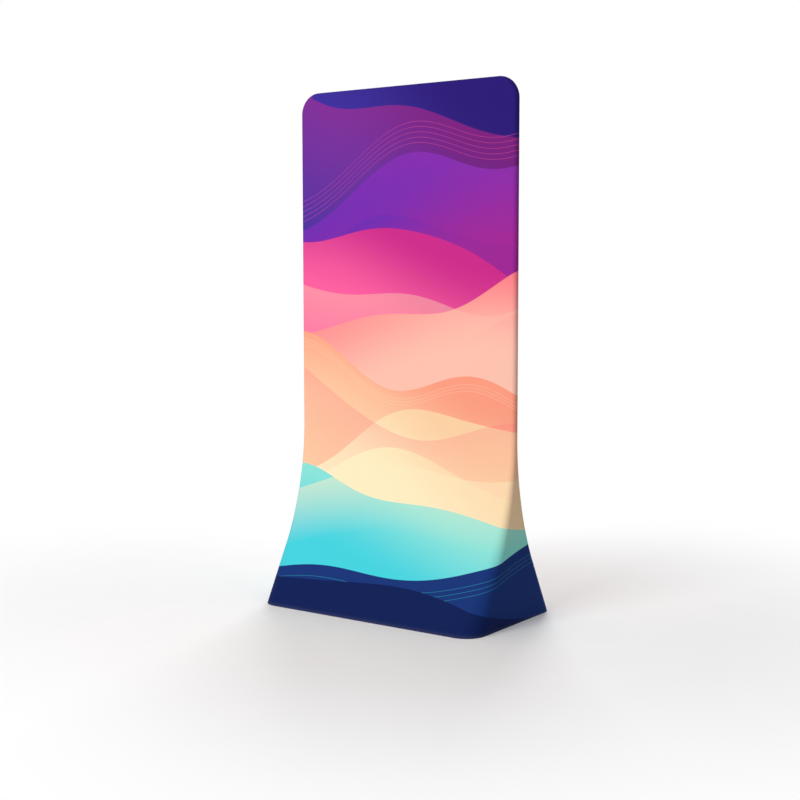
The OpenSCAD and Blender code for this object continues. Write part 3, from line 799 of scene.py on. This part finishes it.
class PrintedDesign:
    """The flowing waves of colour, drawn as fields round and up the tower."""

    def __init__(self, shader, inks):
        self.shader = shader
        self.inks = inks
        c, s, _ = shader.split(shader.uv(ROUND_MAP))
        self.height = shader.split(shader.object_place())[2]
        s2, c2 = 2 * (s * c), c * c - s * s
        s3, c3 = s * c2 + c * s2, c * c2 - s * s2
        self.sines = shader.join(s, s2, s3)
        self.cosines = shader.join(c, c2, c3)
        self.s, self.c = s, c

    def edge(self, middle, ripples):
        sines = tuple(size * cos(phase) for size, phase in ripples)
        cosines = tuple(size * sin(phase) for size, phase in ripples)
        shader = self.shader
        return shader.dot(self.sines, sines) + shader.dot(self.cosines, cosines) + middle

    def run(self, sine, cosine, rise, at):
        value = self.s * sine + self.c * cosine + (self.height - at) * rise
        return self.shader.smooth(value + 0.5, 0.0, 1.0)

    def tone(self, name):
        return tuple(getattr(self.inks, name))

    def lines(self, gap, first, last, pitch, width):
        """Lines that keep their distance from a wave, from first to last above it."""
        count = (gap - first) / pitch
        dash = (width / 2 / pitch - abs(count.fraction() - 0.5)) * (pitch / self.inks.edge_blur)
        start, end = (gap - first) * LINE_ENDS, (last - gap) * LINE_ENDS
        return dash.clamped() * start.clamped() * end.clamped()

    def veil(self, top, foot, strength, fade):
        """How much of a veil's ink lies between its edges, thinning out downwards."""
        blur = 1 / self.inks.edge_blur
        over = ((self.height - self.edge(*foot)) * blur).clamped()
        down = self.edge(*top) - self.height
        left = (1 - down / fade).clamped()
        return over * (down * blur).clamped() * left * strength

    def draw(self):
        shader = self.shader
        blur = 1 / self.inks.edge_blur
        paint = shader.mix(self.tone("indigo"), self.tone("night_violet"), self.run(*TOP_RUN))
        for order, (middle, ripples, first, second, run) in enumerate(WAVES):
            gap = self.height - self.edge(middle, ripples)
            tone = shader.mix(self.tone(first), self.tone(second), self.run(*run))
            paint = shader.mix(paint, tone, (gap * -blur + 0.5).clamped())
            if order in LINES:
                *layout, name, strength = LINES[order]
                paint = shader.mix(paint, self.tone(name), self.lines(gap, *layout) * strength)
            if order in VEILS:
                top, foot, name, strength, fade = VEILS[order]
                laid = self.veil(top, foot, strength, fade)
                paint = shader.mix(paint, self.tone(name), laid)
        return paint


# Finishes


def knit_height(across, up, wale, course):
    """Relief of a warp knit: slanted loops in columns."""
    lean = abs((across / wale).fraction() - 0.5)
    rows = (up / course + lean * 1.2) * (2 * pi)
    ridge = 1 - lean * lean * 3.2
    return ridge * (rows.sine() * 0.3 + 0.7)


def cloth_material(name, cover, paint):
    """Knitted cloth; paint takes the shader and gives its colour."""
    shader = Shader(name)
    across, up, _ = shader.split(shader.uv(CUT_MAP))
    knit = knit_height(across, up, cover.wale, cover.course)
    place = shader.object_place()
    broad = shader.noise(place, 5.0)
    fibre = shader.noise(place, 1400.0, 2.0)
    # The knit term lightens the loops and darkens the hollows between them: painted shade that
    # follows the knit's relief. The broad and fibre noises are random tone of the cloth.
    amount = 0.941 + knit * 0.072 + (broad - 0.5) * 0.03 + (fibre - 0.5) * 0.05
    base = shader.tint(paint(shader), amount)
    dust = shader.smooth(shader.split(place)[2], 0.02, 0.0) * 0.05
    return shader.finish(
        Base_Color=shader.mix(base, (0.45, 0.43, 0.41), dust),
        Roughness=cover.roughness + (broad - 0.5) * 0.10 + (fibre - 0.5) * 0.06,
        Normal=shader.bump(knit + fibre * 0.35, cover.knit_depth, 0.6),
        Specular_IOR_Level=0.04,
        Sheen_Weight=cover.sheen,
        Sheen_Roughness=0.45,
    )


def woven_tape(base):
    """Twill tape of the zip and its end tabs."""
    shader = Shader("woven_tape")
    across, up, _ = shader.split(shader.uv(CUT_MAP))
    warp = (up / WARP * (2 * pi)).sine()
    weft = (across / WEFT * (2 * pi)).sine()
    weave = warp * 0.5 + warp * weft * 0.5
    fibre = shader.noise(shader.object_place(), 1800.0)
    return shader.finish(
        # The weave term lightens the raised threads and darkens the hollows: painted shade that
        # follows the weave's relief. The fibre noise is random tone.
        Base_Color=shader.tint(base, 0.9 + weave * 0.08 + fibre * 0.1),
        Roughness=0.7 + (fibre - 0.5) * 0.2,
        Normal=shader.bump(weave + fibre * 0.4, 0.00012, 0.7),
    )


def fine_nylon(name, base, scale, tint, dull, relief):
    """Coil or thread, with one fine noise.

    tint and dull are each a start and what the noise adds; relief is the bump's distance and
    strength.
    """
    shader = Shader(name)
    fine = shader.noise(shader.object_place(), scale)
    return shader.finish(
        Base_Color=shader.tint(base, tint[0] + fine * tint[1]),
        Roughness=dull[0] + fine * dull[1],
        Normal=shader.bump(fine, *relief),
    )


def plated_metal(name, base, roughness):
    """Cast or turned metal with a thin plating: slight mottling and fine handling marks."""
    shader = Shader(name)
    place = shader.object_place()
    mottle = shader.noise(place, 160.0, 4.0)
    fine = shader.noise(place, 2600.0, 2.0)
    return shader.finish(
        Base_Color=shader.tint(base, 0.92 + mottle * 0.12),
        Metallic=1.0,
        Roughness=roughness + (mottle - 0.5) * 0.16 + (fine - 0.5) * 0.05,
        Normal=shader.bump(mottle * 0.6 + fine * 0.4, 0.00003, 0.5),
    )


def drawn_tube(name, base, roughness, scales):
    """Anodised tube: fine lines along the way it was drawn, and faint dull patches."""
    shader = Shader(name)
    place = shader.object_place()
    lines = shader.noise(shader.stretch(place, scales), 1.0, 2.0)
    patch = shader.noise(place, 14.0)
    return shader.finish(
        Base_Color=shader.tint(base, 0.93 + lines * 0.08 + patch * 0.05),
        Metallic=1.0,
        Roughness=roughness + (lines - 0.5) * 0.12 + (patch - 0.5) * 0.10,
        Normal=shader.bump(lines, 0.00002, 0.4),
    )


def powder_coat(name, base):
    """Fine textured powder coat."""
    shader = Shader(name)
    place = shader.object_place()
    grain = shader.noise(place, 1100.0, 2.0)
    cloud = shader.noise(place, 9.0)
    return shader.finish(
        Base_Color=shader.tint(base, 0.88 + grain * 0.16 + cloud * 0.1),
        Roughness=0.52 + (grain - 0.5) * 0.18,
        Normal=shader.bump(grain, 0.00008, 0.6),
    )


# Stage


def set_camera(scene, stage):
    data = bpy.data.cameras.new("tower_camera")
    data.lens = stage.lens
    data.sensor_width = 36
    made = bpy.data.objects.new("tower_camera", data)
    scene.collection.objects.link(made)
    made.matrix_world = (
        Matrix.Translation(stage.eye)
        @ Matrix.Rotation(stage.yaw, 4, "Z")
        @ Matrix.Rotation(pi / 2 - stage.pitch, 4, "X")
        @ Matrix.Rotation(stage.roll, 4, "Z")
    )
    scene.camera = made


def set_lamps(scene, stage):
    for name, (size, place) in LAMPS.items():
        data = bpy.data.lights.new(name + "_lamp", "AREA")
        data.size = size
        data.energy = getattr(stage, name)
        made = bpy.data.objects.new(name + "_lamp", data)
        scene.collection.objects.link(made)
        turn = (LAMP_AIM - Vector(place)).to_track_quat("-Z", "Y").to_matrix().to_4x4()
        made.matrix_world = Matrix.Translation(place) @ turn


def set_world(scene, stage):
    shader = Shader("tower_world", "worlds")
    even, seen = (
        shader.node("Background", None, {"Color": WHITE, "Strength": strength})
        for strength in (stage.fill, 1.0)
    )
    sky = shader.node("MixShader", None, {0: shader.looked_at(), 1: even, 2: seen})
    scene.world = shader.end(sky, "World")


def lay_floor(stage):
    shader = Shader("floor_matt")
    place = shader.object_place()
    x, y, _ = shader.split(place)
    far = shader.smooth((x * x + y * y).root(), FADE_FROM, FADE_TO)
    seen = shader.looked_at()
    base = shader.mix(tuple(stage.bounce), tuple(stage.floor), seen)
    base = shader.tint(base, 0.98 + shader.noise(place, 3.0) * 0.04)
    matt = shader.node("BsdfPrincipled", None, {"Base Color": base, "Roughness": 0.8})
    white = shader.node("Emission", None, {"Color": WHITE, "Strength": 1.0})
    material = shader.end(shader.node("MixShader", None, {0: far * seen, 1: matt, 2: white}))
    signs = ((-1, -1), (1, -1), (1, 1), (-1, 1))
    corners = [(FLOOR_HALF * a, FLOOR_HALF * b, 0) for a, b in signs]
    piece("stage_floor", corners, [(0, 1, 2, 3)], material)


class TOWER_OT_stage(bpy.types.Operator):
    """Sets up the camera, the lamps, the world and the floor"""

    bl_idname = "tower.stage"
    bl_label = "Stage"

    def execute(self, context):
        scene, stage = context.scene, context.scene.tower_stage
        set_camera(scene, stage)
        set_lamps(scene, stage)
        set_world(scene, stage)
        lay_floor(stage)
        scene.view_settings.view_transform = "Standard"
        return {"FINISHED"}


# Cover


def sew_wrap(plan, material):
    rows = [plan.ring(z) for z in plan.rows] + [plan.turned(turn) for turn in TOP_TURNS]
    skin = Skin(rows, plan.over_top())
    made = skin.build("printed_wrap", material, CLOTH, "cover_fabric", "cover_front_wrap")


def sew_back(plan, material):
    rows = plan.back_rows(PANEL_LOW, plan.top_z)
    for turn in TOP_TURNS:
        half, z = TOP_X + TOP_BEND * cos(turn), plan.top_z + TOP_BEND * sin(turn)
        rows.append(plan.back_row(z, half, WRAP_R))
    sunk_y = WRAP_R - plan.cover.groove
    rows[-1] = [((x, sunk_y, z), spot, cut) for (x, _, z), spot, cut in rows[-1]]
    skin = Skin(rows)
    made = skin.build("printed_back", material, CLOTH, "cover_fabric", "cover_back_panel")


def sew_hem(plan, material):
    skin = Skin(plan.back_rows(0.0, HEM_TOP))
    made = skin.build("printed_hem", material, CLOTH, "cover_fabric", "cover_hem_strip")


def sew_base(plan, material):
    hw, hd, r = HALF_W - BASE_INSET, HALF_D - BASE_INSET, BASE_CORNER - BASE_INSET
    corner = [90 * i / CORNER_COLUMNS for i in range(CORNER_COLUMNS + 1)]
    spots = [(-angle, -1) for angle in reversed(corner)]
    spots += [(0, i / BASE_ROWS) for i in range(1 - BASE_ROWS, BASE_ROWS)]
    spots += [(angle, 1) for angle in corner]
    rows = []
    for angle, part in spots:
        turn = radians(angle)
        y = part * (hd - r) + r * sin(turn)
        across = plan.across(hw - r + r * cos(turn))
        rows.append([((-x, y, 0.0), (0.0, 1.0), (-x, y)) for x in across])
    skin = Skin(rows)
    made = skin.build("base_cloth", material, CLOTH, "base_cloth", "cover_base_panel")


class TOWER_OT_cover(bpy.types.Operator):
    """Makes the printed wrap, the back, the hem strip and the base cloth"""

    bl_idname = "tower.cover"
    bl_label = "Cover"

    def execute(self, context):
        cover, inks = context.scene.tower_cover, context.scene.tower_print
        printed = cloth_material(
            "printed_knit", cover, lambda shader: PrintedDesign(shader, inks).draw()
        )
        plan = CoverPlan(cover)
        sew_wrap(plan, printed)
        sew_back(plan, printed)
        sew_hem(plan, printed)
        dark = tuple(Vector(inks.night).lerp(Vector(inks.navy), 0.3))
        sew_base(plan, cloth_material("base_knit", cover, lambda shader: dark))
        return {"FINISHED"}


# Zip


def weave_tapes(material):
    xs = [TAPE_REACH * (1 - 2 * j / TAPE_COLUMNS) for j in range(TAPE_COLUMNS + 1)]
    for name, low, high in (
        ("tape_upper", CHAIN_MID, TAPE_W), ("tape_lower", -TAPE_W, -CHAIN_MID),
    ):
        rows = []
        for i in range(TAPE_ROWS + 1):
            y, z = TAPE_Y - TAPE_RIB * (i % 2), low + (high - low) * i / TAPE_ROWS
            rows.append([((x, y, ZIP_UP + z), (0, 0), (-x, z)) for x in xs])
        made = Skin(rows).build(name, material, WOVEN_T, "zip_tape", "zip_" + name, ON_BACK)


def weave_tabs(material):
    """Woven tabs that close the cover beyond the two ends of the tapes."""
    for name, end in (("tab_left", -1), ("tab_right", 1)):
        rows = []
        for i in range(TAB_ROWS + 1):
            up = 2 * i / TAB_ROWS - 1
            row = []
            for j in range(TAB_COLUMNS + 1):
                part = j / TAB_COLUMNS
                x = TAB_IN + (TAB_OUT - TAB_IN) * (part if end < 0 else 1 - part)
                place = (end * x, tab_lift(part, up), ZIP_UP + up * TAB_HALF)
                row.append((place, (0, 0), (x, up * TAB_HALF)))
            rows.append(row)
        made = Skin(rows).build(name, material, WOVEN_T, "zip_tape", "zip_end_tabs", ON_BACK)


def wind_coils(zipper):
    nylon = fine_nylon(
        "nylon_coil", tuple(zipper.coil), 900.0, (0.85, 0.3), (0.34, 0.14), (0.00002, 0.4)
    )
    r = zipper.wire / 2
    inner, outer, ring = CHAIN_MID, CHAIN_W / 2, spokes(COIL_SIDES)
    turns = int(2 * (CHAIN_HALF - r) / zipper.pitch)
    start = -turns * zipper.pitch / 2
    solid = Solid()
    for half in (-1, 1):
        path = []
        for i in range(turns * COIL_STEPS + 1):
            turn = 2 * pi * i / COIL_STEPS
            squeeze = 1 - COIL_SQUEEZE * (1 - cos(2 * turn))
            z = (inner + outer) / 2 + (outer - inner - 2 * r) / 2 * cos(turn)
            y = CHAIN_H / 2 + (CHAIN_H / 2 - r) * sin(turn) * squeeze
            x = start + zipper.pitch * i / COIL_STEPS
            path.append(Vector((x, TAPE_Y + y, ZIP_UP + half * z)))
        sections = []
        for i, here in enumerate(path):
            ahead = (path[min(i + 1, len(path) - 1)] - path[max(i - 1, 0)]).normalized()
            flat = (Vector((1, 0, 0)) - ahead * ahead.x).normalized()
            third = ahead.cross(flat)
            sections.append([here + (flat * c + third * s) * r for c, s in ring])
        solid.loft(sections)
    solid.build("zip_coils", nylon, "root", "zip_coil", "zip_chain")


def sew_stitches(zipper):
    thread = fine_nylon(
        "sewing_thread", tuple(zipper.tape), 2500.0, (1.2, 0.5), (0.5, 0.2), (0.00005, 0.6)
    )
    r = zipper.thread / 2
    half = HALF_W - BASE_CORNER - SEAM_END
    along = Vector((zipper.stitch / 2, 0, 0))
    solid = Solid()
    for z in (ZIP_UP - FABRIC_EDGE - SEAM_IN, ZIP_UP + FABRIC_EDGE + SEAM_IN):
        for i in range(int(2 * half / zipper.stitch_pitch) + 1):
            x = -half + zipper.stitch_pitch * i
            solid.stitch(Vector((x, STITCH_OUT * r, z)), along, r)
    for end in (-1, 1):
        for x in (TAB_IN + TAB_STITCH, TAB_OUT - TAB_STITCH):
            for i in range(-TAB_STITCHES, TAB_STITCHES + 1):
                y = tab_lift(0.5, i / (TAB_STITCHES + 1)) + STITCH_OUT * r
                z = ZIP_UP + i * TAB_STITCH
                slant = Vector((TAB_SLANT, 0, TAB_SLANT * (-1) ** i))
                solid.stitch(Vector((end * x, y, z)), slant, r)
    solid.build("zip_stitches", thread, "root", "zip_tape")


def cast_slider(metal):
    """A channel over the two coils, a base plate, the divider and two eyes with a pin."""
    ceiling = TAPE_Y + CHAIN_H + CHAIN_GAP
    top, foot = ceiling + ROOF, TAPE_Y + CHAIN_GAP
    hollow = CHAIN_W / 2 + CHAIN_GAP
    sections = []
    for along, narrow, sunk in reversed(SHELL):
        x = SLIDER_X + along * SLIDER_LEN / 2
        half, eaves = SLIDER_HALF - narrow, top - sunk - ROOF_BEND
        right = [(foot, hollow), (foot, half), (eaves, half)]
        for bend in (22, 45, 68, 90):
            rise, run = sin(radians(bend)), cos(radians(bend))
            right.append((eaves + ROOF_BEND * rise, half - ROOF_BEND + ROOF_BEND * run))
        loop = right + [(y, -z) for y, z in reversed(right)]
        loop += [(ceiling, -hollow), (ceiling, hollow)]
        sections.append([(x, y, ZIP_UP + z) for y, z in loop])
    solid = Solid()
    solid.loft(sections)
    low, long, wide = TAPE_Y - TAPE_T - CHAIN_GAP, SLIDER_LEN / 2, SLIDER_HALF
    solid.stack(
        SLIDER_X, ZIP_UP,
        (low - PLATE_T, long - PLATE_BEVEL, wide - PLATE_BEVEL),
        (low - PLATE_T + PLATE_BEVEL, long, wide), (low, long, wide), r=PLATE_R,
    )
    solid.stack(
        DIVIDER_X, ZIP_UP, (low - CAST_IN, *DIVIDER), (ceiling + CAST_IN, *DIVIDER), r=0.0004
    )
    eye = washer(inner=PIN_R * 0.9, outer=EYE_R, half=0.0005, bevel=0.00018)
    for middle in (ZIP_UP - LUG_Z, ZIP_UP + LUG_Z):
        solid.turn(eye, (PIN.x, PIN.y, middle), (0, 0, 1))
        solid.stack(PIN.x, middle, *((top + up, half, LUG_T) for up, half in LUG), r=0.0002)
    pin = [(PIN_CORE, -PIN_HALF), (PIN_R * 0.7, -PIN_HALF), (PIN_R, PIN_BEVEL - PIN_HALF)]
    pin += [(r, -h) for r, h in reversed(pin)]
    solid.turn(pin, PIN, (0, 0, 1), 24)
    solid.build("slider", metal, "zip_slider", "zip_metal", "zip_slider")


def cast_pull(metal):
    """A waisted tab with an eye round the pin and a hole at its end."""
    solid = Solid()
    eye = washer(inner=0.00086, outer=EYE_R, half=0.002, bevel=0.00022)
    solid.turn(eye, PIN, (0, 0, 1))
    hole = washer(inner=0.00112, outer=HOLE_RIM, half=0.0007, bevel=0.00022)
    solid.turn(hole, (PIN.x - (PULL_LEN - HOLE_RIM), PIN.y, PIN.z), (0, 1, 0))
    strap = [(PIN.x - back, thick, wide) for back, thick, wide in STRAP]
    solid.bar(PIN.y, PIN.z, strap, r=0.0003)
    solid.build("pull", metal, "zip_pull", "zip_metal", "zip_pull")


def crimp_stops(metal):
    """A crimped clip over both coils at each end of the zip."""
    solid = Solid()
    for end in (-1, 1):
        middle = end * (CHAIN_HALF + STOP_LEN / 2)
        clip = [
            (middle + along * STOP_LEN / 2, CHAIN_H / 2 - inset, CHAIN_W / 2 - inset)
            for along, inset in STOP
        ]
        solid.bar(TAPE_Y + CHAIN_H / 2, ZIP_UP, clip, r=0.0006)
    solid.build("stops", metal, "root", "zip_metal", "zip_stops")


class TOWER_OT_zip(bpy.types.Operator):
    """Makes the zip's tapes, end tabs, coils, stitches and worked metal parts"""

    bl_idname = "tower.zip"
    bl_label = "Zip"

    def execute(self, context):
        zipper = context.scene.tower_zip
        woven = woven_tape(tuple(zipper.tape))
        weave_tapes(woven)
        weave_tabs(woven)
        wind_coils(zipper)
        sew_stitches(zipper)
        metal = plated_metal("zip_plating", tuple(zipper.metal), 0.36)
        cast_slider(metal)
        cast_pull(metal)
        crimp_stops(metal)
        return {"FINISHED"}


# Frame


class TOWER_OT_frame(bpy.types.Operator):
    """Finishes the tubes, the base ring, the screws and the snap buttons"""

    bl_idname = "tower.frame"
    bl_label = "Frame"

    def execute(self, context):
        metals = context.scene.tower_frame
        silver, rough = tuple(metals.aluminium), metals.tube_roughness
        finishes = {
            ("upright", "fork", "leg", "top_corner"):
                drawn_tube("tube_upright", silver, rough, (1500.0, 1500.0, 12.0)),
            ("top_tube", "cross_bar"):
                drawn_tube("tube_level", silver, rough, (12.0, 1500.0, 1500.0)),
            "base_": powder_coat("ring_coat", tuple(metals.coat)),
            "lap_screws": plated_metal("screw_zinc", tuple(metals.zinc), 0.36),
            "snap_": plated_metal("button_spring", tuple(metals.spring), 0.30),
        }
        for node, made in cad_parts.items():
            for starts, material in finishes.items():
                if node.startswith(starts):
                    made.data.materials.clear()
                    made.data.materials.append(material)
        return {"FINISHED"}


# Panel


# Each step that makes the tower, with its settings
STEPS = {
    TOWER_OT_stage: {"tower_stage": TOWER_PG_stage},
    TOWER_OT_cover: {"tower_cover": TOWER_PG_cover, "tower_print": TOWER_PG_print},
    TOWER_OT_zip: {"tower_zip": TOWER_PG_zip},
    TOWER_OT_frame: {"tower_frame": TOWER_PG_frame},
}
GROUPS = {name: group for groups in STEPS.values() for name, group in groups.items()}


class TOWER_PT_panel(bpy.types.Panel):
    """Lists the tower's settings and the steps that make it"""

    bl_idname = "TOWER_PT_panel"
    bl_label = "Fabric Tower"
    bl_space_type = "VIEW_3D"
    bl_region_type = "UI"
    bl_category = "Fabric Tower"

    def draw(self, context):
        for operator, groups in STEPS.items():
            box = self.layout.box()
            box.operator(operator.bl_idname)
            for settings, group in groups.items():
                for name in group.__annotations__:
                    box.prop(getattr(context.scene, settings), name)


CLASSES = (*GROUPS.values(), *STEPS, TOWER_PT_panel)


def register():
    for made in CLASSES:
        bpy.utils.register_class(made)
    for name, group in GROUPS.items():
        setattr(bpy.types.Scene, name, PointerProperty(type=group))


def unregister():
    for name in GROUPS:
        delattr(bpy.types.Scene, name)
    for made in reversed(CLASSES):
        bpy.utils.unregister_class(made)


def main():
    register()
    bpy.ops.tower.stage()
    bpy.ops.tower.cover()
    bpy.ops.tower.zip()
    bpy.ops.tower.frame()


if __name__ == "__main__":
    main()
